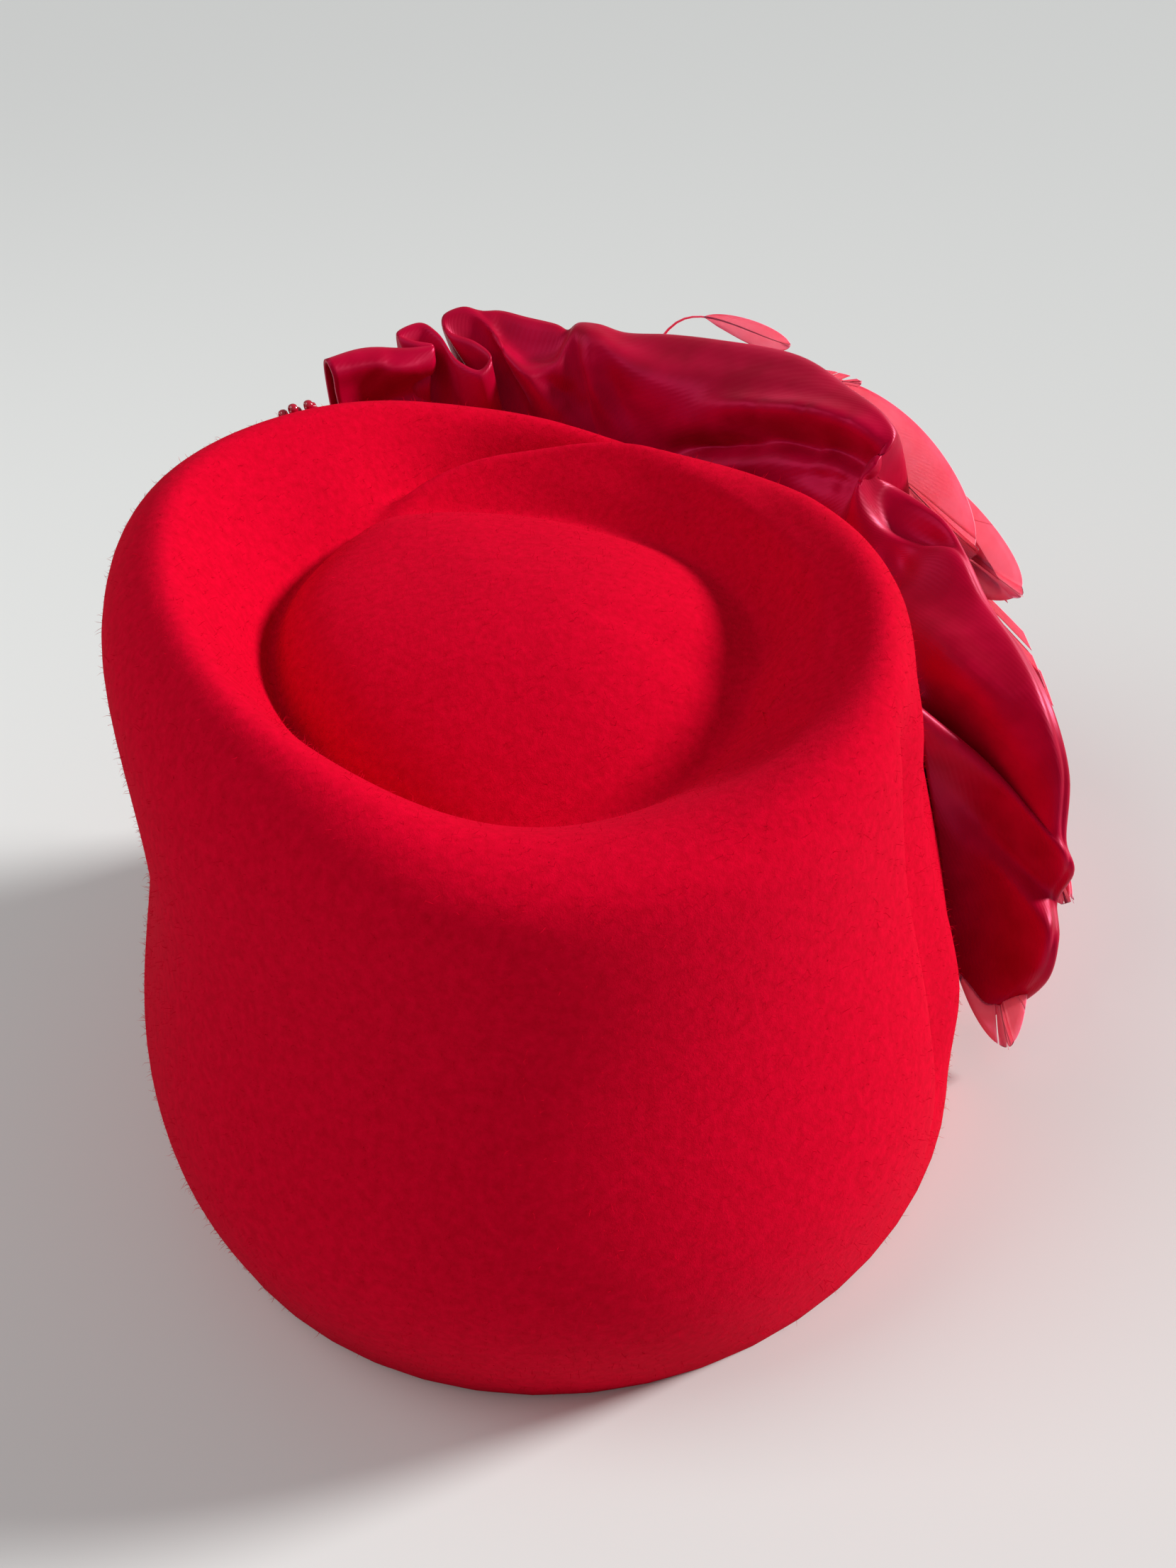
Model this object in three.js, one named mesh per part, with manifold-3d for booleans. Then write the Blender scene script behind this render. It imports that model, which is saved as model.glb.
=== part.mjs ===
// Red felt pillbox hat with a gathered satin drape and a swept-back feather spray.
// Millimetres, +Z up. The hat stands on the cut edge of its crown, and its front faces -Y.
// Angles run from the back of the hat, clockwise seen from above: 90 is the wearer's right.
import * as THREE from "three";
import * as BufferGeometryUtils from "three/addons/utils/BufferGeometryUtils.js";
import Module from "manifold-3d";

const { clamp, degToRad, lerp } = THREE.MathUtils;

// Wall thicknesses, and the gap that sewn pieces keep to what carries them
const FELT_THICKNESS = 2.6;
const SATIN_THICKNESS = 1.8;
const SEWN_GAP = 0.6;

// The head opening's oval, measured at the outside of the cut edge
const OPENING_HALF_WIDTH = 84;
const OPENING_HALF_LENGTH = 97;

// The crown's profile: heights of the wall's belly and waist, and the way in from rim to crest
const BELLY_HEIGHT = 34;
const WAIST_HEIGHT = 74;
const CREST_INSET = 14;
const DOME_HEIGHT = 103;

// Points between: how high the slope into the groove hangs, how far out from the middle of the
// tip its shoulder and its dome lie, and how far the dome has risen there
const SLOPE_SHARE = 0.6;
const SHOULDER_SHARE = 0.8;
const DOME_SHARE = 0.4;
const DOME_RISE = 0.75;

// The crown's sections, one each 30 degrees. Belly, waist and rim stand out from the opening's
// oval, and the groove runs round the sunken tip, whose shoulder lifts beside it.
const CROWN_SECTIONS = [
  { angle: 0, belly: 12, waist: -1.5, rim: -5, rimZ: 98.5, crestZ: 104, groove: 46, grooveZ: 85, lift: 5 },
  { angle: 30, belly: 8, waist: -3, rim: -5.5, rimZ: 98, crestZ: 102.5, groove: 47, grooveZ: 86, lift: 4 },
  { angle: 60, belly: 1, waist: -6.5, rim: -9, rimZ: 98.5, crestZ: 106, groove: 47, grooveZ: 90, lift: 2 },
  { angle: 90, belly: -0.5, waist: -7.5, rim: -11, rimZ: 99, crestZ: 110, groove: 46, grooveZ: 93, lift: 2 },
  { angle: 120, belly: 3, waist: -3, rim: -13, rimZ: 99, crestZ: 110, groove: 46, grooveZ: 96, lift: 2 },
  { angle: 150, belly: 6, waist: 0, rim: -11, rimZ: 99, crestZ: 110, groove: 48, grooveZ: 98, lift: 3 },
  { angle: 180, belly: 7, waist: 0, rim: -7, rimZ: 105, crestZ: 118, groove: 52, grooveZ: 101, lift: 4 },
  { angle: 210, belly: 6.5, waist: 0, rim: -2, rimZ: 110.5, crestZ: 125, groove: 54, grooveZ: 106, lift: 3 },
  { angle: 240, belly: 4, waist: -3, rim: 0, rimZ: 113, crestZ: 126.5, groove: 52, grooveZ: 103, lift: 4 },
  { angle: 270, belly: 1, waist: -8, rim: -5.5, rimZ: 110, crestZ: 123, groove: 48, grooveZ: 99, lift: 5 },
  { angle: 300, belly: 3.5, waist: -6, rim: -9, rimZ: 104, crestZ: 119, groove: 46, grooveZ: 94, lift: 6 },
  { angle: 330, belly: 10, waist: -3, rim: -8.5, rimZ: 99.5, crestZ: 114, groove: 46, grooveZ: 88, lift: 6 },
];
const SECTION_STEP = 360 / CROWN_SECTIONS.length;

// The swirl at the front, where the rim's end is pressed down behind the rim's beginning:
// a furrow of this depth, one row each 15 degrees, that fades out at both ends.
const SWIRL_FURROW = [
  { angle: 140, radius: 74, depth: 0 },
  { angle: 155, radius: 73, depth: 2 },
  { angle: 170, radius: 71, depth: 6 },
  { angle: 185, radius: 70, depth: 9 },
  { angle: 200, radius: 67, depth: 6 },
  { angle: 215, radius: 62, depth: 0 },
];
const FURROW_STEP = 15;
const FURROW_HALF_WIDTH = 6;

// Dents pressed into the wall by wear
const WALL_DENTS = [
  { angle: 69, height: 62, halfAngle: 8, halfHeight: 34, depth: 5 },
  { angle: 292, height: 72, halfAngle: 12, halfHeight: 18, depth: 2 },
];

// Facets round the crown, and rings in each span of its profile from the cut edge to the tip.
// The wall is the first three spans, up to the rim.
const CROWN_SIDES = 60;
const CROWN_RINGS = [3, 3, 2, 3, 4, 4, 2, 2, 1];
const WALL_SPANS = 3;

// The drape's folds in order, from its end at the front left to the loose flap at the right.
// Its inner face climbs from the foot on the wall to the folded ridge, runs out over the top,
// and its outer face puffs out and falls to the hem on the wall.
const DRAPE_FOLDS = [
  { foot: 208, footZ: 103, ridge: 204, ridgeR: 98, ridgeZ: 126, out: 4, up: -2, puff: 1, hem: 204, hemZ: 84 },
  { foot: 202, footZ: 101, ridge: 197, ridgeR: 99, ridgeZ: 125, out: 5, up: -1, puff: 3, hem: 199, hemZ: 76 },
  { foot: 194, footZ: 99, ridge: 191, ridgeR: 99, ridgeZ: 130, out: 5, up: -1, puff: 4, hem: 193, hemZ: 71 },
  { foot: 190, footZ: 98, ridge: 187, ridgeR: 97, ridgeZ: 122, out: 9, up: 0, puff: 3, hem: 188, hemZ: 70 },
  { foot: 185, footZ: 98, ridge: 182, ridgeR: 99, ridgeZ: 132, out: 6, up: 0, puff: 5, hem: 183, hemZ: 68 },
  { foot: 179, footZ: 97, ridge: 175, ridgeR: 95, ridgeZ: 118, out: 13, up: 9, puff: 3, hem: 177, hemZ: 67 },
  { foot: 172, footZ: 96, ridge: 168, ridgeR: 99, ridgeZ: 126, out: 7, up: 0, puff: 5, hem: 170, hemZ: 65 },
  { foot: 165, footZ: 94, ridge: 160, ridgeR: 95, ridgeZ: 119, out: 13, up: 3, puff: 4, hem: 162, hemZ: 64 },
  { foot: 154, footZ: 93, ridge: 149, ridgeR: 93, ridgeZ: 116, out: 13, up: 6, puff: 4, hem: 152, hemZ: 62 },
  { foot: 142, footZ: 92, ridge: 138, ridgeR: 92, ridgeZ: 117, out: 13, up: 2, puff: 4, hem: 141, hemZ: 60 },
  { foot: 131, footZ: 91, ridge: 127, ridgeR: 93, ridgeZ: 117, out: 8, up: 0, puff: 5, hem: 131, hemZ: 57 },
  { foot: 126, footZ: 90, ridge: 121, ridgeR: 97, ridgeZ: 112, out: 4, up: -2, puff: 6, hem: 126, hemZ: 54 },
  { foot: 122, footZ: 88, ridge: 118, ridgeR: 86, ridgeZ: 101, out: 17, up: -3, puff: 3, hem: 122, hemZ: 52 },
  { foot: 117, footZ: 84, ridge: 110, ridgeR: 90, ridgeZ: 92, out: 9, up: 3, puff: 4, hem: 118, hemZ: 48 },
  { foot: 112, footZ: 82, ridge: 105, ridgeR: 95, ridgeZ: 97, out: 4, up: -2, puff: 5, hem: 114, hemZ: 44 },
  { foot: 106, footZ: 80, ridge: 96, ridgeR: 98, ridgeZ: 86, out: 3, up: -3, puff: 3, hem: 110, hemZ: 40 },
  { foot: 101, footZ: 79, ridge: 89, ridgeR: 101, ridgeZ: 76, out: 3, up: -3, puff: -1, hem: 107, hemZ: 36 },
  { foot: 97, footZ: 77, ridge: 84, ridgeR: 105, ridgeZ: 59, out: 2, up: -4, puff: -6, hem: 104, hemZ: 32 },
  { foot: 91, footZ: 72, ridge: 79, ridgeR: 106, ridgeZ: 47, out: 2, up: -4, puff: -10, hem: 101, hemZ: 26 },
  { foot: 89, footZ: 54, ridge: 77, ridgeR: 102, ridgeZ: 34, out: 2, up: -3, puff: -11, hem: 98, hemZ: 20 },
  { foot: 88, footZ: 38, ridge: 75, ridgeR: 103, ridgeZ: 28, out: 2, up: -3, puff: -12, hem: 96, hemZ: 17 },
  { foot: 87, footZ: 25, ridge: 75, ridgeR: 98, ridgeZ: 20, out: 2, up: -3, puff: -9, hem: 94, hemZ: 13 },
  { foot: 85, footZ: 15, ridge: 77, ridgeR: 91, ridgeZ: 12, out: 2, up: -2, puff: -4, hem: 91, hemZ: 9 },
];
const DRAPE_STEPS_PER_FOLD = 2;
const DRAPE_STEPS_ACROSS = 15;
const DRAPE_COLUMNS = (DRAPE_FOLDS.length - 1) * DRAPE_STEPS_PER_FOLD + 1;

// The feathers, bound by their quills in front of the drape and swept back round the right side.
// Each runs from the binding over a middle to its tip, with its vane's full width, and leans its
// upper edge outwards. A higher fullness widens the vane nearer to its tip.
const FEATHERS = [
  { middle: 157, middleR: 115, middleZ: 123, tip: 142, tipR: 113, tipZ: 120, width: 5, lean: 0 },
  { middle: 152, middleR: 116, middleZ: 108, tip: 131, tipR: 111, tipZ: 116, width: 8, lean: 0 },
  { middle: 143, middleR: 118, middleZ: 97, tip: 113, tipR: 109, tipZ: 84, width: 24, lean: 8 },
  { middle: 141, middleR: 120, middleZ: 92, tip: 107, tipR: 113, tipZ: 82, width: 25, lean: 25 },
  { middle: 138, middleR: 118, middleZ: 87, tip: 93, tipR: 112, tipZ: 57, width: 20, lean: 10 },
  { middle: 134, middleR: 117, middleZ: 76, tip: 83, tipR: 111, tipZ: 36, width: 16, lean: 10 },
  { middle: 128, middleR: 116, middleZ: 50, tip: 75, tipR: 100, tipZ: 7, width: 12, lean: 75 },
];
const FEATHER_STEPS = 10;
const FEATHER_THICKNESS = 1.2;
const QUILL_WIDTH = 2.4;
const QUILL_SHARE = 0.3;
const TIP_FULLNESS = 1.5;

// The binding that holds the quills, sewn to the drape's outer face
const BINDING_ANGLE = 167;
const BINDING_HEIGHT = 92;
const BINDING_RADII = { across: 7, out: 2.6, up: 5 };
const BINDING_SIDES = { round: 14, up: 8 };

// Interpolates one column of a table by a cubic through its rows; a closed table meets itself.
function column(rows, at, name, closed) {
  const last = rows.length - 1;
  const row = closed ? Math.floor(at) : clamp(Math.floor(at), 0, last - 1);
  const t = at - row;
  const value = (k) => {
    const index = closed ? (row + k + rows.length) % rows.length : clamp(row + k, 0, last);
    return rows[index][name];
  };
  const [a, b, c, d] = [-1, 0, 1, 2].map(value);
  return b + 0.5 * t * (c - a + t * (2 * a - 5 * b + 4 * c - d + t * (3 * (b - c) + d - a)));
}

function place(angle, radius, height) {
  const a = degToRad(angle);
  return new THREE.Vector3(-radius * Math.sin(a), radius * Math.cos(a), height);
}

function openingRadius(angle) {
  const a = degToRad(angle);
  return 1 / Math.hypot(Math.sin(a) / OPENING_HALF_WIDTH, Math.cos(a) / OPENING_HALF_LENGTH);
}

const bell = (x) => Math.exp(-x * x);

// The crown's profile at one angle, from the cut edge over the rim to the middle of the tip.
function crownProfile(angle) {
  const at = (((angle % 360) + 360) % 360) / SECTION_STEP;
  const s = (name) => column(CROWN_SECTIONS, at, name, true);
  const r = openingRadius(angle);
  const rim = r + s("rim");
  const crest = rim - CREST_INSET;
  const [crestZ, groove, grooveZ] = ["crestZ", "groove", "grooveZ"].map(s);
  const shoulderZ = grooveZ + s("lift");
  return new THREE.SplineCurve([
    new THREE.Vector2(r, 0),
    new THREE.Vector2(r + s("belly"), BELLY_HEIGHT),
    new THREE.Vector2(r + s("waist"), WAIST_HEIGHT),
    new THREE.Vector2(rim, s("rimZ")),
    new THREE.Vector2(crest, crestZ),
    new THREE.Vector2((crest + groove) / 2, lerp(grooveZ, crestZ, SLOPE_SHARE)),
    new THREE.Vector2(groove, grooveZ),
    new THREE.Vector2(groove * SHOULDER_SHARE, shoulderZ),
    new THREE.Vector2(groove * DOME_SHARE, lerp(shoulderZ, DOME_HEIGHT, DOME_RISE)),
    new THREE.Vector2(0, DOME_HEIGHT),
  ]);
}

function furrowDepth(angle, radius) {
  const at = (angle - SWIRL_FURROW[0].angle) / FURROW_STEP;
  if (at <= 0 || at >= SWIRL_FURROW.length - 1) return 0;
  const middle = column(SWIRL_FURROW, at, "radius", false);
  return column(SWIRL_FURROW, at, "depth", false) * bell((radius - middle) / FURROW_HALF_WIDTH);
}

function dentDepth(angle, height) {
  const depths = WALL_DENTS.map((dent) => {
    const across = bell((angle - dent.angle) / dent.halfAngle);
    return dent.depth * across * bell((height - dent.height) / dent.halfHeight);
  });
  return depths.reduce((sum, depth) => sum + depth, 0);
}

function crownPoint(angle, t) {
  const p = crownProfile(angle).getPoint(t);
  return place(angle, p.x - dentDepth(angle, p.y), p.y - furrowDepth(angle, p.x));
}

// The wall's outer radius at a height below the rim, found by halving the span that holds it
function wallRadius(angle, height) {
  const profile = crownProfile(angle);
  const halvings = 24;
  let [low, high] = [0, WALL_SPANS / CROWN_RINGS.length];
  for (let step = 0; step < halvings; step++) {
    const middle = (low + high) / 2;
    if (profile.getPoint(middle).y < height) low = middle;
    else high = middle;
  }
  return profile.getPoint(low).x - dentDepth(angle, height);
}

// A wall of even thickness under a grid of points, closed by a rim along its open edges.
// Its rows stand at the given steps, and join round into a ring with a closed cap if asked.
// The surface's slope at each point is taken over a small step each way.
function wall(surface, steps, columns, thickness, { ring = false, cap = false, flatFoot = false }) {
  const rows = steps.length;
  const [outer, inner] = [[], []];
  const [dRow, dColumn] = [0.004, 0.002];
  for (let i = 0; i < rows; i++) {
    const t = steps[i];
    for (let j = 0; j < columns; j++) {
      const u = ring ? j / columns : j / (columns - 1);
      const p = surface(u, t);
      const along = surface(u, Math.min(t + dRow, 1)).sub(surface(u, Math.max(t - dRow, 0)));
      const before = ring ? u - dColumn : Math.max(u - dColumn, 0);
      const after = ring ? u + dColumn : Math.min(u + dColumn, 1);
      const round = surface(after, t).sub(surface(before, t));
      const q = p.clone().addScaledVector(round.cross(along).normalize(), -thickness);
      if (flatFoot && i === 0) q.z = p.z;
      outer.push(p);
      inner.push(q);
    }
  }
  const points = [...outer, ...inner];
  const shift = outer.length;
  const index = [];
  const quad = (a, b, c, d) => index.push(a, b, c, a, c, d);
  const spans = ring ? columns : columns - 1;
  for (let j = 0; j < spans; j++) {
    const next = (j + 1) % columns;
    for (let i = 0; i + 1 < rows; i++) {
      const [a, b] = [i * columns, (i + 1) * columns];
      quad(a + j, a + next, b + next, b + j);
      quad(shift + a + next, shift + a + j, shift + b + j, shift + b + next);
    }
    quad(j, shift + j, shift + next, next);
    const last = (rows - 1) * columns;
    if (!cap) quad(last + next, shift + last + next, shift + last + j, last + j);
    if (cap) {
      index.push(last + j, last + next, points.length);
      index.push(shift + last + next, shift + last + j, points.length + 1);
    }
  }
  if (!ring) {
    for (let i = 0; i + 1 < rows; i++) {
      const [a, b] = [i * columns, (i + 1) * columns];
      quad(b, shift + b, shift + a, a);
      quad(a + columns - 1, shift + a + columns - 1, shift + b + columns - 1, b + columns - 1);
    }
  }
  if (cap) {
    const tip = surface(0, 1);
    points.push(tip, new THREE.Vector3(tip.x, tip.y, tip.z - thickness));
  }
  const geometry = new THREE.BufferGeometry().setFromPoints(points);
  geometry.setIndex(index);
  return geometry;
}

function feltCrown() {
  const surface = (u, t) => crownPoint(u * 360, t);
  const span = (k, count) => Array.from({ length: count }, (_, i) => (k + i / count) / CROWN_RINGS.length);
  const steps = CROWN_RINGS.flatMap((count, k) => span(k, count));
  return wall(surface, steps, CROWN_SIDES, FELT_THICKNESS, { ring: true, cap: true, flatFoot: true });
}

// The drape's section at one place along it, from the foot over the ridge to the hem
function drapeSection(u) {
  const at = u * (DRAPE_FOLDS.length - 1);
  const s = (name) => column(DRAPE_FOLDS, at, name, false);
  const [foot, footZ, hem, hemZ] = ["foot", "footZ", "hem", "hemZ"].map(s);
  const [ridge, ridgeR, ridgeZ] = ["ridge", "ridgeR", "ridgeZ"].map(s);
  const [topR, topZ] = [ridgeR + s("out"), ridgeZ + s("up")];
  const slant = Math.abs(Math.sin(degToRad(foot - ridge)));
  const footR = wallRadius(foot, footZ) + SEWN_GAP + 2 * SATIN_THICKNESS * slant;
  const hemR = wallRadius(hem, hemZ) + SEWN_GAP + SATIN_THICKNESS;
  return new THREE.CatmullRomCurve3([
    place(foot, footR, footZ),
    place((foot + ridge) / 2, (footR + ridgeR) / 2 + 1, (footZ + ridgeZ) / 2),
    place(ridge, ridgeR, ridgeZ),
    place(ridge, topR, topZ),
    place((ridge + hem) / 2, topR + s("puff"), (topZ + hemZ) / 2),
    place(hem, hemR, hemZ),
  ]);
}

function satinDrape() {
  const surface = (u, t) => drapeSection(u).getPoint(t);
  const steps = Array.from({ length: DRAPE_STEPS_ACROSS + 1 }, (_, i) => i / DRAPE_STEPS_ACROSS);
  return wall(surface, steps, DRAPE_COLUMNS, SATIN_THICKNESS, {});
}

// The drape's outer face at an angle and a height, found by the nearest of its sampled points
function drapeOuterRadius(angle, height) {
  const samples = 40;
  const target = place(angle, 1, 0);
  let best = { away: Infinity };
  for (let j = 0; j < DRAPE_COLUMNS; j++) {
    const points = drapeSection(j / (DRAPE_COLUMNS - 1)).getPoints(samples);
    for (const p of points.slice(samples / 2)) {
      const radius = Math.hypot(p.x, p.y);
      const turn = new THREE.Vector3(p.x, p.y, 0).angleTo(target) * radius;
      const away = Math.hypot(turn, p.z - height);
      if (away < best.away) best = { away, radius };
    }
  }
  return best.radius;
}

// One feather: a bare quill from the binding, then a vane that swells and rounds off at the tip
function featherBlade(root, row) {
  const path = new THREE.CatmullRomCurve3([
    root,
    place(row.middle, row.middleR, row.middleZ),
    place(row.tip, row.tipR, row.tipZ),
  ]);
  const points = [];
  for (let i = 0; i <= FEATHER_STEPS; i++) {
    const t = i / FEATHER_STEPS;
    const p = path.getPoint(t);
    const out = new THREE.Vector3(p.x, p.y, 0).normalize();
    const tangent = path.getTangent(t);
    const side = tangent.clone().cross(out).normalize();
    side.applyAxisAngle(tangent, -degToRad(row.lean) * t);
    const face = side.clone().cross(tangent).normalize();
    const vane = Math.max(t - QUILL_SHARE, 0) / (1 - QUILL_SHARE);
    const swell = Math.sqrt(Math.sin(Math.PI * Math.pow(vane, TIP_FULLNESS)));
    const half = (QUILL_WIDTH + (row.width - QUILL_WIDTH) * swell) / 2;
    points.push(p.clone().addScaledVector(side, half));
    points.push(p.clone().addScaledVector(face, FEATHER_THICKNESS / 2));
    points.push(p.clone().addScaledVector(side, -half));
    points.push(p.clone().addScaledVector(face, -FEATHER_THICKNESS / 2));
  }
  const index = [0, 1, 2, 0, 2, 3];
  for (let i = 0; i < FEATHER_STEPS; i++) {
    for (let k = 0; k < 4; k++) {
      const [a, b] = [i * 4 + k, i * 4 + ((k + 1) % 4)];
      index.push(a, a + 4, b + 4, a, b + 4, b);
    }
  }
  const end = FEATHER_STEPS * 4;
  index.push(end, end + 2, end + 1, end, end + 3, end + 2);
  const geometry = new THREE.BufferGeometry().setFromPoints(points);
  geometry.setIndex(index);
  return geometry;
}

const wasm = await Module();
wasm.setup();

function solid(geometry) {
  const bare = geometry.clone();
  bare.deleteAttribute("normal");
  bare.deleteAttribute("uv");
  const merged = BufferGeometryUtils.mergeVertices(bare);
  const vertProperties = new Float32Array(merged.attributes.position.array);
  const triVerts = new Uint32Array(merged.index.array);
  return new wasm.Manifold(new wasm.Mesh({ numProp: 3, vertProperties, triVerts }));
}

function geometryOf(manifold) {
  const mesh = manifold.getMesh();
  const geometry = new THREE.BufferGeometry();
  geometry.setAttribute("position", new THREE.BufferAttribute(new Float32Array(mesh.vertProperties), 3));
  geometry.setIndex(Array.from(mesh.triVerts));
  return geometry;
}

// The feathers fused to their binding, a flattened ball of wound thread
function featherSpray() {
  const seat = drapeOuterRadius(BINDING_ANGLE, BINDING_HEIGHT) + SEWN_GAP;
  const root = place(BINDING_ANGLE, seat + BINDING_RADII.out, BINDING_HEIGHT);
  const binding = new THREE.SphereGeometry(1, BINDING_SIDES.round, BINDING_SIDES.up);
  binding.scale(BINDING_RADII.across, BINDING_RADII.out, BINDING_RADII.up);
  binding.rotateZ(degToRad(BINDING_ANGLE));
  binding.translate(root.x, root.y, root.z);
  const blades = FEATHERS.map((row) => solid(featherBlade(root, row)));
  return geometryOf(blades.reduce((joined, blade) => joined.add(blade), solid(binding)));
}

function piece(name, geometry, color, roughness) {
  const mesh = new THREE.Mesh(geometry, new THREE.MeshStandardMaterial({ color, roughness, metalness: 0 }));
  mesh.name = name;
  return mesh;
}

const hat = new THREE.Group();
hat.add(piece("felt_crown", feltCrown(), 0xd0021f, 0.95));
hat.add(piece("satin_drape", satinDrape(), 0xa80a32, 0.35));
hat.add(piece("feather_spray", featherSpray(), 0xf0506a, 0.7));

// The hat stands on the ground with the origin under the middle of its box
const box = new THREE.Box3().setFromObject(hat);
const middle = box.getCenter(new THREE.Vector3());
hat.position.set(-middle.x, -middle.y, -box.min.z);

export default hat;
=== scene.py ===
"""Red felt pillbox hat with a gathered satin drape and a feather spray, standing on a pale floor."""

import math

import bpy
import numpy as np
from mathutils import Matrix, Vector


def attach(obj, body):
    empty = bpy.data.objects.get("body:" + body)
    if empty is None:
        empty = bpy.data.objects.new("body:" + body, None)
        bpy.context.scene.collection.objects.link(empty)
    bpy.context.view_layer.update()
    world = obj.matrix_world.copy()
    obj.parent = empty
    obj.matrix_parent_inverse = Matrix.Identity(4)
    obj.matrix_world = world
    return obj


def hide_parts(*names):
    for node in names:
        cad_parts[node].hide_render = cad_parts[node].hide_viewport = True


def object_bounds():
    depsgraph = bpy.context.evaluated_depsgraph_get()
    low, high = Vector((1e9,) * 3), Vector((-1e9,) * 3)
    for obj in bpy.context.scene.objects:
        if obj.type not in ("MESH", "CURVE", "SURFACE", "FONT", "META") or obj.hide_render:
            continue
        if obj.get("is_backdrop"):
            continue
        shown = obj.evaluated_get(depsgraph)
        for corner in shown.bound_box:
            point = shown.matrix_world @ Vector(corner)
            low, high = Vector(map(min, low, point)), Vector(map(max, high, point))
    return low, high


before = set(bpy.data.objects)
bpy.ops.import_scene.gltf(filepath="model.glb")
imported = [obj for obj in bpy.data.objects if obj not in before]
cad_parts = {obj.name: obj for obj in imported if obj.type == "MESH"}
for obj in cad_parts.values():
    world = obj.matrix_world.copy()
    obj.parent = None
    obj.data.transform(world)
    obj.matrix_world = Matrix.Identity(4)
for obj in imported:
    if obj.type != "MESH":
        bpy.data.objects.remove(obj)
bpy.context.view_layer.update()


# Felt crown
# One hood of red wool felt, steamed and pulled over a block: its wall bellies, its rim is rolled
# and its tip is pushed down into the crown. It stands on its cut edge and has no lining.
MM = 0.001
MERGE_WITHIN = 0.01
QUAD_ANGLE = 1.0
ON_FLOOR = 0.05
FELT_LEVELS = 2
EDGE_CREASE = 0.7


def take_only(piece):
    """Selects one object alone, because an operator acts on all that is selected."""
    bpy.ops.object.select_all(action="DESELECT")
    piece.select_set(True)
    bpy.context.view_layer.objects.active = piece


def copy_of_node(node, name):
    """A merged copy of a CAD node's mesh, as an object of its own."""
    piece = bpy.data.objects.new(name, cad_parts[node].data.copy())
    bpy.context.collection.objects.link(piece)
    take_only(piece)
    bpy.ops.object.mode_set(mode="EDIT")
    bpy.ops.mesh.select_all(action="SELECT")
    bpy.ops.mesh.remove_doubles(threshold=MERGE_WITHIN * MM)
    bpy.ops.mesh.tris_convert_to_quads(face_threshold=QUAD_ANGLE, shape_threshold=QUAD_ANGLE)
    bpy.ops.object.mode_set(mode="OBJECT")
    return piece


def points_of(piece):
    """The mesh's vertices as an array of places."""
    places = np.zeros(len(piece.data.vertices) * 3)
    piece.data.vertices.foreach_get("co", places)
    return places.reshape(-1, 3)


def smoothed(piece, levels):
    """Applies a subdivision surface and shades the piece smooth."""
    take_only(piece)
    rounding = piece.modifiers.new("rounding", "SUBSURF")
    rounding.levels = levels
    rounding.render_levels = levels
    bpy.ops.object.modifier_apply(modifier=rounding.name)
    bpy.ops.object.shade_smooth()


crown = copy_of_node("felt_crown", "crown")
cut_edge = points_of(crown)
cut_edge = cut_edge[cut_edge[:, 2] < ON_FLOOR * MM]
opening_centre = (cut_edge.min(axis=0) + cut_edge.max(axis=0)) / 2

creases = crown.data.attributes.new("crease_edge", "FLOAT", "EDGE")
for edge in crown.data.edges:
    low = all(crown.data.vertices[v].co.z < ON_FLOOR * MM for v in edge.vertices)
    creases.data[edge.index].value = EDGE_CREASE if low else 0.0
smoothed(crown, FELT_LEVELS)

# Creases pressed into the felt by hand: the groove round the tip and the swirl at the front. A row holds an
# angle from the back of the hat in degrees, clockwise from above, then a radius and a depth in millimetres.
GROOVE = [
    (0, 46, 1.5), (60, 47, 0), (120, 46, 0), (180, 52, 0.5), (210, 54, 2.2), (240, 52, 3),
    (270, 48, 3.4), (300, 46, 3.4), (330, 46, 2.6), (360, 46, 1.5),
]
GROOVE_HALF_WIDTH = 2.6
SWIRL = [
    (142, 75, 0), (156, 74, 4), (170, 72, 7.5), (184, 69, 9), (196, 65, 7), (208, 60, 3.5),
    (220, 55, 0),
]
SWIRL_HALF_WIDTH = 3.6
SWIRL_RIDGE_IN = 6.0
SWIRL_RIDGE_SHARE = 0.35
TIP_RADIUS = 85.0
TIP_DOME = {"radius": 46, "rise": 6.5}
# The right side of the rim, sunk inside and raised at its edge: angle, the two radii, and how much of it.
RIM_SLOPE = [
    (20, 64, 82, 0), (45, 62, 79, 0.7), (66, 60, 73, 1), (90, 56, 68.5, 1), (115, 56, 69, 1),
    (140, 60, 75, 0.4), (165, 62, 78, 0),
]
RIM_MOVE = {"sunk": 4.5, "edge": 4.5, "half_width": 7.5}
TOP_FROM = (70, 82)
EVENING = 8
# The crease in the wall behind the right ear, slanting from low to high, and the soft roll beside it.
WALL_FROM = 55
WALL_CREASE = {"low": 45.5, "high": 48.5, "height": 88, "sharp": 4, "wide": 20, "depth": 6}
WALL_ROLL = {"angle": 68, "half_angle": 7, "out": 2.5}
WALL_CREASE_FADE = (8, 30, 84, 104)


def bell(distance, half_width):
    """A round bump, 1 where there is no distance and dying away past its half width."""
    return np.exp(-((distance / half_width) ** 2))


def ease(value, start, end):
    """Goes smoothly from 0 at the start to 1 at the end."""
    share = np.clip((value - start) / (end - start), 0, 1)
    return share * share * (3 - 2 * share)


def round_hat(rows, angle):
    """Each column of rows that start with an angle, evened out between them and held past their ends."""
    degrees = np.arange(-EVENING, 360 + EVENING + 1)
    blur = np.hanning(2 * EVENING + 1) / EVENING
    starts, *columns = np.array(rows, float).T
    evened = [np.convolve(np.interp(degrees, starts, column), blur, "valid") for column in columns]
    return [np.interp(angle, np.arange(361), column) for column in evened]


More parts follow.
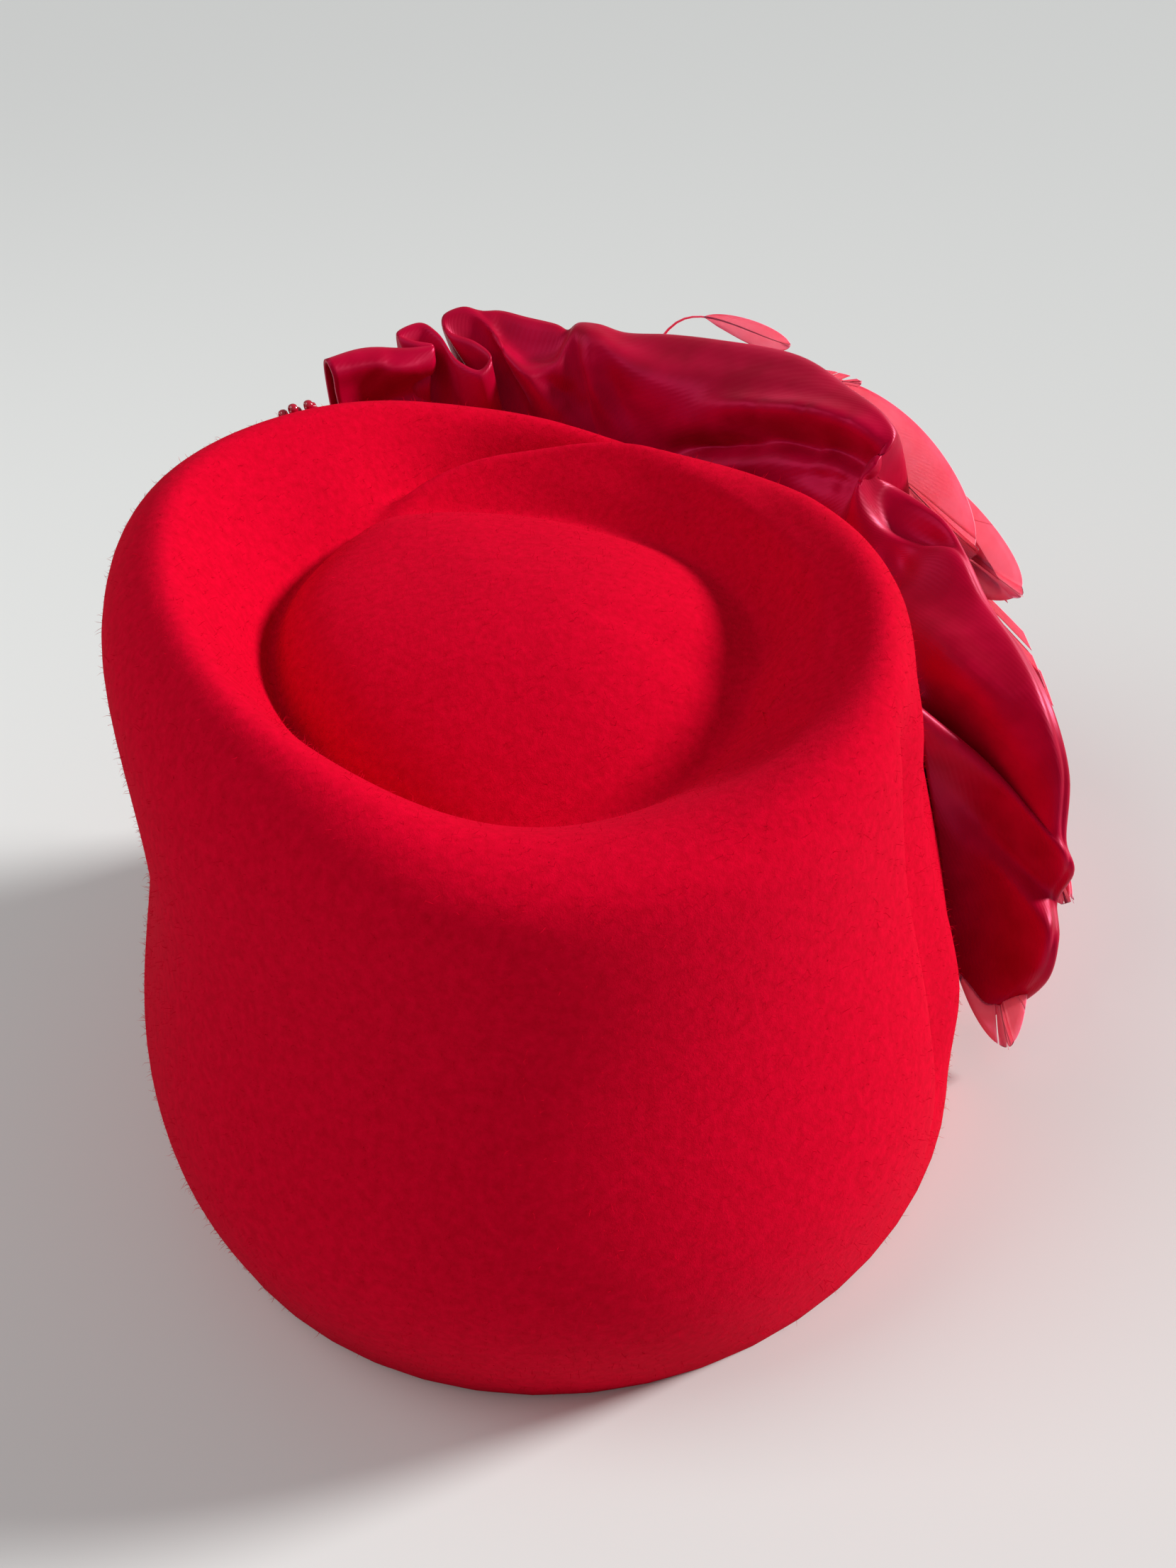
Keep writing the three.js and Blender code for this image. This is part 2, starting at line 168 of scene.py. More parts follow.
felt = (points_of(crown) - opening_centre) / MM
angle = np.degrees(np.arctan2(-felt[:, 0], felt[:, 1])) % 360
radius = np.hypot(felt[:, 0], felt[:, 1])
groove_radius, groove_depth = round_hat(GROOVE, angle)
pressed = -groove_depth * bell(radius - groove_radius, GROOVE_HALF_WIDTH)
swirl_radius, swirl_depth = round_hat(SWIRL, angle)
pressed -= swirl_depth * bell(radius - swirl_radius, SWIRL_HALF_WIDTH)
pressed += SWIRL_RIDGE_SHARE * swirl_depth * bell(radius - swirl_radius + SWIRL_RIDGE_IN, SWIRL_HALF_WIDTH)
pressed += TIP_DOME["rise"] * np.clip(1 - (radius / TIP_DOME["radius"]) ** 2, 0, 1)
sunk_radius, edge_radius, much = round_hat(RIM_SLOPE, angle)
pressed -= RIM_MOVE["sunk"] * much * bell(radius - sunk_radius, RIM_MOVE["half_width"])
pressed += RIM_MOVE["edge"] * much * bell(radius - edge_radius, RIM_MOVE["half_width"])
felt[:, 2] += np.where(radius < TIP_RADIUS, pressed * ease(felt[:, 2], *TOP_FROM), 0)

near = WALL_CREASE["low"] + (WALL_CREASE["high"] - WALL_CREASE["low"]) * felt[:, 2] / WALL_CREASE["height"]
past = angle - near
hollow = ease(past, 0, WALL_CREASE["sharp"]) * (1 - ease(past, WALL_CREASE["sharp"], WALL_CREASE["wide"]))
foot_from, foot_to, rim_from, rim_to = WALL_CREASE_FADE
fade = ease(felt[:, 2], foot_from, foot_to) * (1 - ease(felt[:, 2], rim_from, rim_to))
hollow *= fade
roll = bell(angle - WALL_ROLL["angle"], WALL_ROLL["half_angle"])
hollow = (hollow * WALL_CREASE["depth"] - fade * WALL_ROLL["out"] * roll) * (radius > WALL_FROM)
felt[:, :2] *= (1 - hollow / radius)[:, None]
crown.data.vertices.foreach_set("co", (felt * MM + opening_centre).reshape(-1))
crown.data.update()


def linear(code):
    """A colour socket's value from an sRGB hex code."""
    parts = [int(code[i : i + 2], 16) / 255 for i in (1, 3, 5)]
    return (*[c / 12.92 if c <= 0.04045 else ((c + 0.055) / 1.055) ** 2.4 for c in parts], 1.0)


def node(tree, kind, settings=None, **links):
    """Adds a node, sets its properties and input values, and links its inputs to other outputs."""
    made = tree.nodes.new(kind)
    for name, value in (settings or {}).items():
        if hasattr(made, name) and name not in made.inputs:
            setattr(made, name, value)
        else:
            made.inputs[name].default_value = value
    for name, output in links.items():
        tree.links.new(output, made.inputs[name.replace("_", " ")])
    return made


# Wool felt: matted short fibres that scatter light softly, with a nap that glows at grazing angles
# and small tufts a millimetre or two across where the steam has raised it. Its fibres, about 0.02 mm
# thick, are drawn coarser, so that they show.
FELT_TUFT = 1.6
FELT_FIBRE = 0.35
wool_felt = bpy.data.materials.new("wool_felt")
wool_felt.use_nodes = True
tree = wool_felt.node_tree
tree.nodes.clear()
place = node(tree, "ShaderNodeTexCoord")
tufts = node(
    tree,
    "ShaderNodeTexNoise",
    {"Scale": 1 / (FELT_TUFT * MM), "Detail": 4.0, "Roughness": 0.6},
    Vector=place.outputs["Object"],
)
fibres = node(
    tree,
    "ShaderNodeTexNoise",
    {"Scale": 1 / (FELT_FIBRE * MM), "Detail": 2.0, "Roughness": 0.7, "Distortion": 1.5},
    Vector=place.outputs["Object"],
)
tint = node(tree, "ShaderNodeValToRGB", Fac=tufts.outputs["Fac"])
tint.color_ramp.elements[0].position = 0.32
tint.color_ramp.elements[0].color = linear("#c40020")
tint.color_ramp.elements[1].position = 0.68
tint.color_ramp.elements[1].color = linear("#d80028")
raised = node(tree, "ShaderNodeBump", {"Strength": 0.35, "Distance": 0.5 * MM}, Height=tufts.outputs["Fac"])
napped = node(
    tree,
    "ShaderNodeBump",
    {"Strength": 0.5, "Distance": 0.2 * MM},
    Height=fibres.outputs["Fac"],
    Normal=raised.outputs["Normal"],
)
felt_surface = node(
    tree,
    "ShaderNodeBsdfPrincipled",
    {
        "Roughness": 0.95,
        "IOR": 1.5,
        "Specular IOR Level": 0.04,
        "Sheen Weight": 0.12,
        "Sheen Roughness": 0.5,
        "Sheen Tint": linear("#ff1c50"),
    },
    Base_Color=tint.outputs["Color"],
    Normal=napped.outputs["Normal"],
)
node(tree, "ShaderNodeOutputMaterial", Surface=felt_surface.outputs["BSDF"])
crown.data.materials.clear()
crown.data.materials.append(wool_felt)
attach(crown, "root")
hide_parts("felt_crown")

# Loose fibres that stand up from the nap, each a thin bent spike. Real ones are about 0.02 mm thick and
# are drawn thicker here, so that they show.
FIBRES = 16000
FIBRE_LENGTH = (0.35, 2.2)
FIBRE_RADIUS = 0.04
FIBRE_SIDES = 3
FIBRE_BEND_AT = 0.5
# The two rings of each spike: their share of its length from the felt, and of its thickness.
FIBRE_RINGS = ((-0.1, 1.0), (FIBRE_BEND_AT, 0.8))
MOSTLY_SHORT = 3
RISE_SPAN = (0.6, 1.4)
RISE_SCATTER = 0.6
BEND_SCATTER = 0.5
WALL_FACING = 0.1
TOP_FACING = 0.2
TOP_HEIGHT = 75
chance = np.random.default_rng(3)


def joined_mesh(name, places, faces):
    """One object from lists of places and faces, as a joined mesh of many small parts."""
    mesh = bpy.data.meshes.new(name)
    mesh.from_pydata(np.array(places).tolist(), [], faces)
    piece = bpy.data.objects.new(name, mesh)
    bpy.context.collection.objects.link(piece)
    take_only(piece)
    return piece


def unit(vectors):
    """The vectors at a length of 1."""
    return vectors / np.maximum(np.linalg.norm(vectors, axis=-1, keepdims=True), 1e-12)


corners = np.zeros(len(crown.data.loop_triangles) * 3, int)
crown.data.loop_triangles.foreach_get("vertices", corners)
corners = points_of(crown)[corners.reshape(-1, 3)]
facing = np.cross(corners[:, 1] - corners[:, 0], corners[:, 2] - corners[:, 0])
area = np.linalg.norm(facing, axis=1)
facing = unit(facing)
centres = corners.mean(axis=1) - opening_centre
outward = np.sum(facing * unit(centres * [1, 1, 0]), axis=1) > WALL_FACING
upward = (facing[:, 2] > TOP_FACING) & (centres[:, 2] > TOP_HEIGHT * MM)
area = np.where((outward | upward) & (centres[:, 2] > FIBRE_LENGTH[1] * MM), area, 0)
picked = chance.choice(len(area), FIBRES, p=area / area.sum())
spread = chance.dirichlet((1, 1, 1), FIBRES)
base = np.einsum("fc,fcx->fx", spread, corners[picked])
shortest, longest = FIBRE_LENGTH
lengths = shortest + (longest - shortest) * chance.random((FIBRES, 1)) ** MOSTLY_SHORT
lengths *= MM
upright = facing[picked] * chance.uniform(*RISE_SPAN, (FIBRES, 1))
rise = unit(upright + chance.normal(0, RISE_SCATTER, (FIBRES, 3)))
bend = unit(rise + chance.normal(0, BEND_SCATTER, (FIBRES, 3)))
across = unit(np.cross(rise, chance.normal(0, 1, (FIBRES, 3))))
beside = np.cross(rise, across)
rings = []
for reach, thickness in FIBRE_RINGS:
    for k in range(FIBRE_SIDES):
        turn = 2 * math.pi * k / FIBRE_SIDES
        off = (across * math.cos(turn) + beside * math.sin(turn)) * FIBRE_RADIUS * thickness * MM
        rings.append(base + rise * lengths * reach + off)
rings.append(base + rise * lengths * FIBRE_BEND_AT + bend * lengths * (1 - FIBRE_BEND_AT))
spike = [[2, 1, 0], [0, 1, 4, 3], [1, 2, 5, 4], [2, 0, 3, 5], [3, 4, 6], [4, 5, 6], [5, 3, 6]]
nap = joined_mesh(
    "felt_nap",
    np.stack(rings, axis=1).reshape(-1, 3),
    [[len(rings) * fibre + v for v in face] for fibre in range(FIBRES) for face in spike],
)
nap.data.materials.append(wool_felt)
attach(nap, "root")


# Satin drape
# A doubled band of dark red satin, cut on the bias and gathered by hand. Its raw edges are sewn to
# the wall, its fold stands up in loops round the front, and its end hangs as a flap at the right.
RIB_COLUMNS = (
    "foot", "foot_z", "swing", "bow", "ridge", "ridge_r", "ridge_z",
    "out", "up", "dip", "belly", "hem", "hem_z",
)
# One row for each rib of the gathers, from the left end to the flap: angles from the back of the hat in
# degrees, the rest in millimetres. The foot and the hem are sewn, and the ridge is the standing fold.
DRAPE_RIBS = [
    (203, 101, 0, 0, 204, 96, 127, 3, -1, -1, 101, 203, 84),
    (199, 100, 0, 0, 198, 98, 127, 3, -1, -1, 104, 199, 76),
    (195, 99, 0, 0, 192, 97, 125.5, 3, -1, -1, 106, 195, 72),
    (192.5, 98, 0, 0, 189, 97.5, 125.5, 2.5, -1, -1, 107, 193, 71),
    (191.5, 98, 0, 0, 191.5, 99.5, 126.5, 2.5, -1, -1, 107, 192, 71),
    (190.5, 98, 0, 0, 193, 102.5, 128, 2.5, -1, -1, 108, 191, 70),
    (189, 98, 0, 0, 190, 104, 129, 2.5, -1, -1, 108, 189.5, 70),
    (186.5, 97, 0, 0, 188, 101, 127, 2.5, -1, -1, 108, 187.5, 69),
    (184, 97, 0, 0, 186, 94, 122, 2.5, -1, -1, 108, 185, 69),
    (181.5, 97, 0, 0, 183, 91, 120, 2.5, -1, -1, 109, 183, 68),
    (180, 97, 0, 0, 181.3, 94, 122, 2.5, -1, -1, 109, 181.5, 68),
    (179, 97, 0, 0, 183.2, 98.5, 124.5, 2.5, -1, -1, 109, 180, 68),
    (178, 96, 0, 0, 186.3, 102, 126.5, 2.5, -1, -1, 109, 179, 67),
    (177, 96, 0, 0, 186.5, 106, 129.5, 2.5, -1, -1, 110, 178, 67),
    (176, 96, 0, 0, 184, 107, 130.5, 2.5, -1, -1, 110, 177, 67),
    (174.5, 96, 0, 0, 181.3, 104, 127.5, 4, 2, 0, 110, 175.5, 66),
    (172.5, 96, 0, 0, 179, 97, 122, 11, 7, 2, 111, 173.5, 66),
    (170, 95, 0, 0, 176, 92.5, 118.5, 14, 9, 3, 111, 171, 65),
    (168, 95, 0, 0, 172.5, 94, 119, 11, 7, 2, 111, 169, 65),
    (166.5, 95, 0, 0, 170.7, 98.5, 122.5, 6, 2, 0, 111, 167, 64),
    (165.5, 94, 0, 0, 169.3, 101.5, 125, 5, 0, -1, 111, 165.5, 64),
    (164.5, 94, 0, 0, 167, 100, 124, 6, 1, -1, 111, 164, 64),
    (162.5, 94, 0, 0, 163.5, 96.5, 120.5, 10.5, 2, -1, 111, 161, 63),
    (158, 93, 0, 0, 158, 93.5, 116.5, 13, 6, -1, 111, 156, 63),
    (151, 93, 0, -2, 150.5, 92.5, 115, 13, 7, -1, 110, 150, 62),
    (141, 92, 0, -3, 139.5, 93, 115.5, 12, 5, -1, 109, 140, 60),
    (133, 91, 0, -3, 131, 95, 115.5, 7, 1, -1, 107, 132, 57),
    (127.5, 90, 0, -2, 124, 97, 113, 3, 0, -1, 106, 127, 55),
    (125, 89, 0, -1, 121.5, 97, 110, 2.5, -1, -1, 106, 125, 54),
    (123, 87, 0, 0, 121.2, 90, 106, 2.5, -2, -1, 106, 123, 53),
    (121, 86, 0, 0, 120.7, 87, 101.5, 9, -1, 2, 106, 121, 51),
    (118.5, 85, 0, 0, 118, 89, 94, 10, 3.5, 4, 105, 119, 49),
    (116, 84, 0, 0, 114, 94.5, 90.5, 6.5, 4, 3, 105, 117, 47),
    (113, 82, 0, 0, 109.5, 98, 91, 3, -1, 0, 104, 115, 45),
    (109, 81, 0, -2, 103, 98, 85, 3, -3, 0, 104, 112, 42),
    (104, 80, 0, -4, 95.3, 100, 79.5, 3, -3, 0, 104, 109, 38),
    (99.5, 78, 2, -6, 89, 102, 73, 3, -3, 0, 103, 106, 35),
    (96, 76, 5, -7, 85, 104.5, 62.5, 2.5, -3, 0, 102, 104, 32),
    (93, 73, 8, -6, 82.5, 104.5, 50, 2, -3, 0, 100, 102, 28),
    (89, 74, 2.5, 1, 80.8, 106, 45, 2, -3, 0, 98, 101, 25),
    (89, 58, 3, -1, 82.5, 104, 34, 2, -3, 0, 95, 98, 20),
    (89, 44, 2, -1, 78, 103.5, 31, 2, -3, 0, 94, 97, 18),
    (88, 31, 1, 0, 77, 102, 22, 2, -3, 0, 93, 96, 15),
    (86.5, 20, 0, 0, 78.5, 97, 12, 2, -2.5, 0, 91, 94, 12),
    (85, 13, 0, 0, 78, 92, 9, 2, -2, 0, 89, 91, 9),
]
RIB_SPACING = 8
SPANS_ACROSS = (12, 14, 5, 5, 12, 10)
SEWN_GAP = 0.6
SATIN_THICKNESS = 0.7
FAR_OUT = 200.0


def curve_through(points, counts):
    """Smooth centripetal curves through the points in each column of an array, a count of steps per span."""
    points = np.concatenate([[2 * points[0] - points[1]], points, [2 * points[-1] - points[-2]]])
    steps = np.linalg.norm(np.diff(points, axis=0), axis=-1, keepdims=True) ** 0.5
    knots = np.concatenate([np.zeros_like(steps[:1]), np.cumsum(np.maximum(steps, 1e-6), axis=0)])
    rows = []
    for span, count in enumerate(counts):
        p, k = points[span : span + 4], knots[span : span + 4]
        last = span == len(counts) - 1
        for share in np.linspace(0, 1, count + 1)[: None if last else -1]:
            t = k[1] + (k[2] - k[1]) * share
            a = [((k[i + 1] - t) * p[i] + (t - k[i]) * p[i + 1]) / (k[i + 1] - k[i]) for i in range(3)]
            b = [((k[i + 2] - t) * a[i] + (t - k[i]) * a[i + 1]) / (k[i + 2] - k[i]) for i in range(2)]
            rows.append(((k[2] - t) * b[0] + (t - k[1]) * b[1]) / (k[2] - k[1]))
    return np.array(rows)


def polar(angle, radius, height):
    """Places in metres from angles at the back of the hat, and radii and heights in millimetres."""
    turn = np.radians(angle)
    around = np.stack([-radius * np.sin(turn), radius * np.cos(turn), height], axis=-1)
    return around * MM + opening_centre


def outer_radius(piece, angle, height):
    """A piece's radius at an angle and a height, felt for from outside."""
    outside = Vector(polar(angle, FAR_OUT, height))
    axis = Vector(polar(angle, 0.0, height))
    _, spot, _, _ = piece.ray_cast(outside, (axis - outside).normalized())
    return (spot - axis).length / MM


def sewn_radius(angles, heights):
    """The radii just off the crown's wall, where cloth is sewn to it."""
    return np.array([outer_radius(crown, a, h) for a, h in zip(angles, heights)]) + SEWN_GAP


ribs = np.array(DRAPE_RIBS, float)
ribs = curve_through(ribs, [RIB_SPACING] * (len(ribs) - 1))
rib = dict(zip(RIB_COLUMNS, ribs.T))
foot_r = sewn_radius(rib["foot"], rib["foot_z"])
hem_r = sewn_radius(rib["hem"], rib["hem_z"])
top_r = rib["ridge_r"] + rib["out"]
top_z = rib["ridge_z"] + rib["up"]
sections = np.array(
    [
        polar(rib["foot"], foot_r, rib["foot_z"]),
        polar(
            (rib["foot"] + rib["ridge"]) / 2 + rib["swing"],
            (foot_r + rib["ridge_r"]) / 2 + rib["bow"],
            (rib["foot_z"] + rib["ridge_z"]) / 2,
        ),
        polar(rib["ridge"], rib["ridge_r"], rib["ridge_z"]),
        polar(rib["ridge"], rib["ridge_r"] + rib["out"] / 2, rib["ridge_z"] + rib["up"] / 2 - rib["dip"]),
        polar(rib["ridge"], top_r, top_z),
        polar((rib["ridge"] + rib["hem"]) / 2, rib["belly"], (top_z + rib["hem_z"]) / 2),
        polar(rib["hem"], hem_r, rib["hem_z"]),
    ]
)
cloth = curve_through(sections, SPANS_ACROSS)

PLEAT_COLUMNS = ("rib", "across", "to_rib", "to_across", "height", "half_width")
# Smaller folds that the gathering leaves on the inner face, a row for each: where its crest starts and
# ends, by rib and by steps across from the foot, its height towards the hat and its half width.
PLEATS = [
    (0.0, 10, 2.6, 18, 3, 3),
    (0.0, 22, 2.6, 21, -2.5, 2.5),
    (14.6, 24, 15.6, 10, 1.5, 2.5),
    (17.4, 25, 18.8, 12, 2, 2.8),
    (20.5, 24, 21.0, 10, -3, 3.2),
    (21.6, 20, 22.4, 10, 1.5, 3),
    (23.4, 8, 25.6, 18, 5, 2.8),
    (24.6, 17, 27.9, 18, 5.5, 3),
    (24.2, 22, 27.6, 22, -4, 3),
    (26.0, 11, 28.0, 15, 1.4, 2.2),
    (31.5, 20, 33.0, 9, 1.6, 3),
    (34.2, 12, 37.4, 22, -2, 4),
]
INNER_FACE_STEPS = 34
INNER_FACE_FADE = 8
CREST_POINTS = 24
CREST_END = 0.1


def on_cloth(rib_number, across):
    """Places on the cloth's grid at rib numbers and steps across."""
    column = np.clip(np.round(rib_number * RIB_SPACING).astype(int), 0, cloth.shape[1] - 1)
    row = np.clip(np.round(across).astype(int), 0, cloth.shape[0] - 1)
    return cloth[row, column]


across_cloth, along_ribs = np.gradient(cloth, axis=0), np.gradient(cloth, axis=1)
towards_hat = unit(np.cross(across_cloth, along_ribs))
raised_by = np.zeros(cloth.shape[:2])
sunk_by = np.zeros(cloth.shape[:2])
for values in PLEATS:
    pleat = dict(zip(PLEAT_COLUMNS, values))
    share = np.linspace(0, 1, CREST_POINTS)
    crest = on_cloth(
        pleat["rib"] + (pleat["to_rib"] - pleat["rib"]) * share,
        pleat["across"] + (pleat["to_across"] - pleat["across"]) * share,
    )
    fading = np.sin(math.pi * (CREST_END + (1 - 2 * CREST_END) * share))
    away = np.array([np.linalg.norm(cloth - point, axis=-1) for point in crest]) / MM
    lift = pleat["height"] * np.max(bell(away, pleat["half_width"]) * fading[:, None, None], axis=0)
    raised_by = np.maximum(raised_by, lift)
    sunk_by = np.minimum(sunk_by, lift)
inner = 1 - ease(np.arange(cloth.shape[0]), INNER_FACE_STEPS - INNER_FACE_FADE, INNER_FACE_STEPS)
cloth = cloth + towards_hat * ((raised_by + sunk_by) * inner[:, None] * MM)[..., None]

bpy.ops.object.select_all(action="DESELECT")
bpy.ops.mesh.primitive_grid_add(
    x_subdivisions=cloth.shape[1] - 1, y_subdivisions=cloth.shape[0] - 1, size=1, calc_uvs=True
)
drape = bpy.context.object
drape.name = "drape"
drape.data.vertices.foreach_set("co", cloth.reshape(-1))
drape.data.update()

take_only(drape)
doubling = drape.modifiers.new("doubling", "SOLIDIFY")
doubling.thickness = SATIN_THICKNESS * MM
doubling.offset = 0.0
bpy.ops.object.modifier_apply(modifier=doubling.name)
bpy.ops.object.shade_smooth()

# Satin: long floats of filament over a fine twill, so highlights stretch along the cloth and break
# into fine slanting lines, and the colour deepens where it turns away from the light. The twill, about
# 0.2 mm apart on the cloth, is drawn coarser, so that it shows.
TWILL_SPACING = 0.6
TWILL_SLANT = math.radians(35)
SLUB_WIDTH = 9
# The doubled cloth's flat width and length in metres.
DRAPE_FLAT = (0.09, 0.32)
satin = bpy.data.materials.new("satin")
satin.use_nodes = True
tree = satin.node_tree
tree.nodes.clear()
along_cloth = node(tree, "ShaderNodeUVMap", {"uv_map": drape.data.uv_layers[0].name})
place = node(tree, "ShaderNodeTexCoord")
sized = node(
    tree,
    "ShaderNodeMapping",
    {"Scale": (DRAPE_FLAT[1], DRAPE_FLAT[0], 1.0), "Rotation": (0.0, 0.0, TWILL_SLANT)},
    Vector=along_cloth.outputs["UV"],
)
twill = node(
    tree,
    "ShaderNodeTexWave",
    {
        "Scale": 1 / (TWILL_SPACING * MM) / (2 * math.pi),
        "Distortion": 0.6,
        "Detail": 1.0,
        "Detail Scale": 2.0,
    },
    Vector=sized.outputs["Vector"],
)
slubs = node(
    tree,
    "ShaderNodeTexNoise",
    {"Scale": 1 / (SLUB_WIDTH * MM), "Detail": 2.0},
    Vector=place.outputs["Object"],
)
shade = node(tree, "ShaderNodeValToRGB", Fac=slubs.outputs["Fac"])
shade.color_ramp.elements[0].position = 0.35
shade.color_ramp.elements[0].color = linear("#a80026")
shade.color_ramp.elements[1].position = 0.65
shade.color_ramp.elements[1].color = linear("#bc0232")
weave = node(tree, "ShaderNodeBump", {"Strength": 0.12, "Distance": 0.1 * MM}, Height=twill.outputs["Fac"])
satin_surface = node(
    tree,
    "ShaderNodeBsdfPrincipled",
    {
        "Roughness": 0.4,
        "IOR": 1.5,
        "Specular IOR Level": 0.85,
        "Specular Tint": linear("#ff3c84"),
        "Anisotropic": 0.65,
        "Sheen Weight": 0.3,
        "Sheen Roughness": 0.3,
        "Sheen Tint": linear("#ff4a88"),
    },
    Base_Color=shade.outputs["Color"],
    Normal=weave.outputs["Normal"],
)
node(tree, "ShaderNodeOutputMaterial", Surface=satin_surface.outputs["BSDF"])
drape.data.materials.append(satin)
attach(drape, "root")
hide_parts("satin_drape")


# Feather spray
# Flat feathers dyed pink-red, trimmed round, their quills bound together with thread. The binding is
# sewn to the outside of the drape at the front, and the feathers sweep back round the right side.
FEATHER_COLUMNS = (
    "middle", "middle_r", "middle_z", "tip", "tip_r", "tip_z", "width", "lean", "bare", "lock", "part",
)
# One row for each feather, from the topmost down: places as for the drape, the vane's full width, how far
# its upper edge leans outwards in degrees, the bare share of the shaft, the width of the locks that the
# barbs cling together in, and how far the locks part.
FEATHERS = [
    (157.5, 115, 123.5, 143, 113, 120, 5.5, 10, 0.62, 20, 0),
    (152, 116, 108, 133, 112, 114.5, 6, 0, 0.45, 3, 0.5),
    (144, 116, 105, 113, 110, 85, 26, 22, 0.4, 60, 0),
    (141, 120, 91, 106.5, 113, 79, 20, 45, 0.3, 60, 0),
    (139, 118, 93, 92, 110, 55, 22, 45, 0.22, 6, 0.3),
    (134, 117, 78, 83, 110, 30, 18, 35, 0.3, 6, 0.3),
    (122, 112, 44, 72.5, 97, 5.5, 20, 80, 0.35, 14, 0.04),
]
BINDING_ANGLE = 167.0
BINDING_HEIGHT = 92.0
BINDING_RADII = np.array([7.0, 2.6, 5.0])
TIP_FULLNESS = 1.5
QUILL_RADIUS = 0.5
BARB_SPACING = 0.6
BARB_RELIEF = 0.07
BARB_STEPS = 9
BARB_SWEEP = 0.85
VANE_CAMBER = 0.22
VANE_THICKNESS = 0.14
PATH_STEPS = 60
QUILL_STEPS = 24
QUILL_SIDES = 6
QUILL_TAPER = 0.9
# Shares of the shaft where the last lock may start, where the vane ends and where its barbs end.
LOCKS_TO = 0.985
VANE_TO = 0.99
BARBS_TO = 0.997
# How locks vary: least width and its spread, sweep, drop in millimetres, trimmed length and closing.
LOCK_LEAST = 0.6
LOCK_SPREAD = 0.8
LOCK_LAG = 0.5
LOCK_DROP = 1.2
LOCK_TRIM = 0.2
LOCK_CLOSING = 0.5
BARB_CURVE = 1.3
chance = np.random.default_rng(7)


seat = outer_radius(drape, BINDING_ANGLE, BINDING_HEIGHT) + SEWN_GAP
root = polar(BINDING_ANGLE, seat + BINDING_RADII[1], BINDING_HEIGHT)


class Shaft:
    """A feather's curved shaft, with the vane's side and face at any share of its length."""

    def __init__(self, row):
        middle = polar(row["middle"], row["middle_r"], row["middle_z"])
        tip = polar(row["tip"], row["tip_r"], row["tip_z"])
        self.line = curve_through(np.array([root, middle, tip]), [PATH_STEPS, PATH_STEPS])
        self.shares = np.linspace(0, 1, len(self.line))
        self.length = np.linalg.norm(np.diff(self.line, axis=0), axis=1).sum()
        along = unit(np.gradient(self.line, axis=0))
        out = unit((self.line - opening_centre) * [1, 1, 0])
        side = unit(np.cross(along, out))
        face = np.cross(side, along)
        turn = np.radians(-row["lean"]) * self.shares[:, None]
        self.side = side * np.cos(turn) - face * np.sin(turn)
        self.face = face * np.cos(turn) + side * np.sin(turn)
        self.width = row["width"]
        self.bare = row["bare"]

    def at(self, field, share):
        """Places or directions at shares of the shaft's length."""
        return np.stack([np.interp(share, self.shares, field[:, k]) for k in range(3)], axis=-1)

    def half_width(self, share):
        """Half of the vane's width, nought on the bare shaft and round at the tip."""
        vane = np.clip((share - self.bare) / (1 - self.bare), 0, 1)
        return self.width / 2 * np.sqrt(np.maximum(np.sin(np.pi * vane**TIP_FULLNESS), 0)) * MM


def vane_locks(shaft, lock, part):
    """The vane on both sides of the shaft, as locks of clinging barbs that sweep towards the tip."""
    places, faces = [], []
    sweep = shaft.width * MM * BARB_SWEEP / shaft.length
    for hand in (-1, 1):
        start = shaft.bare
        while start < LOCKS_TO:
            wide = lock * (LOCK_LEAST + LOCK_SPREAD * chance.random()) * MM / shaft.length
            end = min(start + wide, VANE_TO)
            barbs = max(int((end - start) * shaft.length / (BARB_SPACING * MM)), 2)
            lag = 1 + part * chance.normal(0, LOCK_LAG)
            drop = part * chance.normal(0, LOCK_DROP) * MM
            trim = 1 - LOCK_TRIM * part * chance.random()
            middle_start = (start + end) / 2
            first = len(places)
            s = np.linspace(0, 1, BARB_STEPS)
            for k, own in enumerate(np.linspace(start, end, barbs)):
                closing = 1 - LOCK_CLOSING * part * s**2
                share = middle_start + (own - middle_start) * closing + sweep * lag * s**BARB_CURVE
                share = np.minimum(share, BARBS_TO)
                half = shaft.half_width(share[-1]) * trim
                relief = BARB_RELIEF * MM * (k % 2) * np.sin(math.pi * s)
                fall = VANE_CAMBER * s**2 * shaft.width / 2 * MM + drop * s - relief
                places.extend(
                    shaft.at(shaft.line, share)
                    + hand * shaft.at(shaft.side, share) * (half * s)[:, None]
                    - shaft.at(shaft.face, share) * fall[:, None]
                )
            for k in range(barbs - 1):
                for m in range(BARB_STEPS - 1):
                    a = first + k * BARB_STEPS + m
                    faces.append([a, a + 1, a + BARB_STEPS + 1, a + BARB_STEPS][::hand])
            start = end
    return places, faces


def quill(shaft):
    """The shaft itself, a tapering tube closed at both ends."""
    share = np.linspace(0, 1, QUILL_STEPS)
    sides = QUILL_SIDES
    middle = shaft.at(shaft.line, share)
    side = shaft.at(shaft.side, share)
    face = shaft.at(shaft.face, share)
    radius = QUILL_RADIUS * MM * (1 - QUILL_TAPER * share)[:, None]
    rings = []
    for k in range(sides):
        turn = 2 * math.pi * k / sides
        rings.append(middle + radius * (side * math.cos(turn) + face * math.sin(turn)))
    places = np.stack(rings, axis=1).reshape(-1, 3)
    faces = [list(range(sides))[::-1], list(range(len(places) - sides, len(places)))]
    for i in range(len(share) - 1):
        for k in range(sides):
            a, b = i * sides + k, i * sides + (k + 1) % sides
            faces.append([a, b, b + sides, a + sides])
    return list(places), faces


